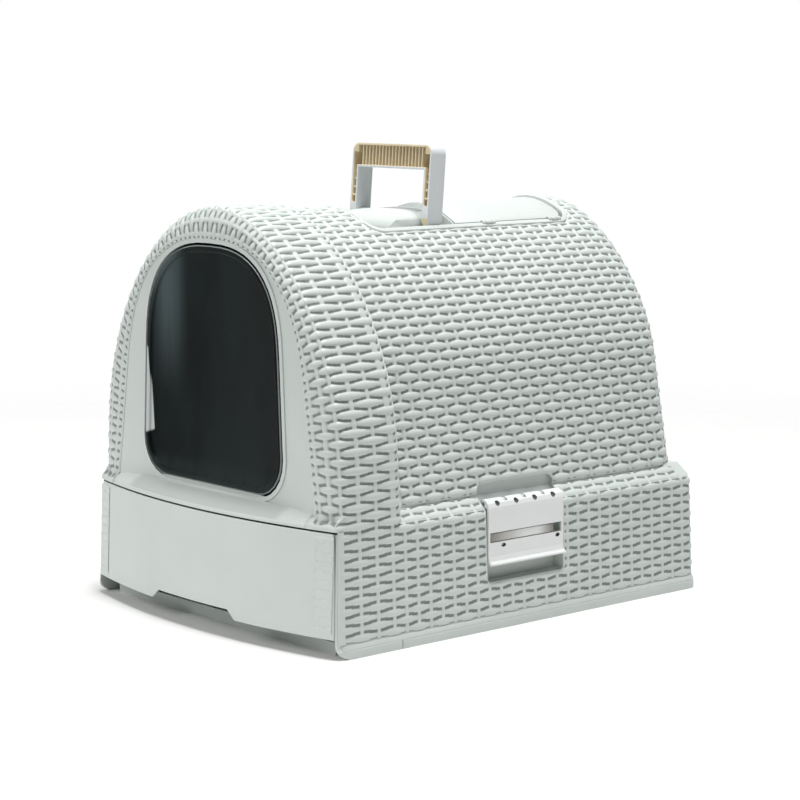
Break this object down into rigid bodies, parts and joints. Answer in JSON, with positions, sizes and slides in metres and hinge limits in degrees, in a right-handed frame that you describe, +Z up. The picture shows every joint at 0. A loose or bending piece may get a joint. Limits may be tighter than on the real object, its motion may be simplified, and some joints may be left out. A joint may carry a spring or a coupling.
{
  "type": "drawer litter box",
  "caption": "Hooded cat litter box in woven-look plastic with a swinging smoked flap, a pull-out litter drawer, side clips, a fold-down handle and a filter lid.",
  "frame": {"origin": "on the floor, under the middle of the overall box", "axes": "+Z up, +Y from the drawer front to the rear, +X to the right as seen from the front"},
  "size_m": [0.385, 0.5012, 0.4495],
  "materials": {
    "casing": "satin pale mint moulded plastic, woven relief outside",
    "clip_white": "satin white plastic",
    "handle_cream": "satin, white outside and cream in the ribbed hollow",
    "smoked_sheet": "glossy smoked see-through plastic",
    "pin_grey": "satin plastic",
    "carbon_felt": "black carbon felt"
  },
  "bodies": {
    "casing": {"hood": "casing", "door_pivot_left": "pin_grey", "door_pivot_right": "pin_grey", "base_tray": "casing", "catch_left": "clip_white", "catch_right": "clip_white", "latch_pin_left": "pin_grey", "latch_pin_right": "pin_grey", "top_well": "casing", "handle_pin_left": "pin_grey", "handle_pin_right": "pin_grey", "lid_hinge_pins": "pin_grey", "filter_pad": "carbon_felt", "filter_grille": "casing"},
    "drawer": {"litter_tray": "casing", "drawer_front": "casing"},
    "door": {"door_flap": "smoked_sheet"},
    "handle": {"handle": "handle_cream"},
    "latch_left": {"latch_left": "clip_white"},
    "latch_right": {"latch_right": "clip_white"},
    "filter_lid": {"filter_lid": "casing"}
  },
  "joints": [
    {"name": "drawer_slide", "type": "slide", "parent": "casing", "child": "drawer", "axis": [0, -1, 0], "range_m": [0, 0.36]},
    {"name": "door_swing", "type": "hinge", "parent": "casing", "child": "door", "pos_m": [0, -0.2165, 0.284], "axis": [1, 0, 0], "range_deg": [-80, 80]},
    {"name": "handle_fold", "type": "hinge", "parent": "casing", "child": "handle", "pos_m": [0, 0.005, 0.37801], "axis": [1, 0, 0], "range_deg": [0, 94.5]},
    {"name": "latch_left_swing", "type": "hinge", "parent": "casing", "child": "latch_left", "pos_m": [-0.1799, 0.0075, 0.1185], "axis": [0, 1, 0], "range_deg": [0, 100]},
    {"name": "latch_right_swing", "type": "hinge", "parent": "casing", "child": "latch_right", "pos_m": [0.1799, 0.0075, 0.1185], "axis": [0, -1, 0], "range_deg": [0, 100]},
    {"name": "filter_lid_swing", "type": "hinge", "parent": "casing", "child": "filter_lid", "pos_m": [0.0602, 0.12, 0.37122], "axis": [0, 1, 0], "range_deg": [0, 100]}
  ]
}
